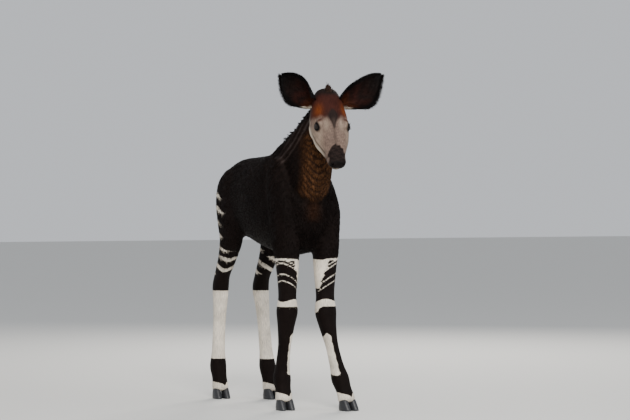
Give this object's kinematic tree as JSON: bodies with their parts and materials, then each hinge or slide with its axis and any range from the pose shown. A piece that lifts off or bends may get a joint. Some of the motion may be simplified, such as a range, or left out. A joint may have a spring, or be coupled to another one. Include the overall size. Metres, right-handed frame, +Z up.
{
  "type": "okapi calf figure",
  "caption": "Life-size still figure of a standing okapi calf with striped legs, short nape mane, raised open ears and its head turned aside",
  "frame": {"origin": "on the floor, under the middle of the bounding box", "axes": "+Z is up, -Y is the way that the body faces, +X is the calf's left"},
  "size_m": [0.3542, 0.8848, 1.2059],
  "materials": {
    "coat": "short dark fur",
    "face": "short pale fur with a dark brow and muzzle",
    "stocking": "short fur banded black and white",
    "ear": "short dark fur with a soft fringe",
    "horn": "smooth dull horn",
    "eye": "wet gloss"
  },
  "bodies": {
    "root": {"torso": "coat", "neck": "coat", "tail": "coat", "head": "face", "ear_left": "ear", "ear_right": "ear", "eye_left": "eye", "eye_right": "eye", "foreleg_left": "stocking", "foreleg_right": "stocking", "hindleg_left": "stocking", "hindleg_right": "stocking", "hoof_fore_left_outer": "horn", "hoof_fore_left_inner": "horn", "hoof_fore_right_outer": "horn", "hoof_fore_right_inner": "horn", "hoof_hind_left_outer": "horn", "hoof_hind_left_inner": "horn", "hoof_hind_right_outer": "horn", "hoof_hind_right_inner": "horn"}
  },
  "joints": []
}
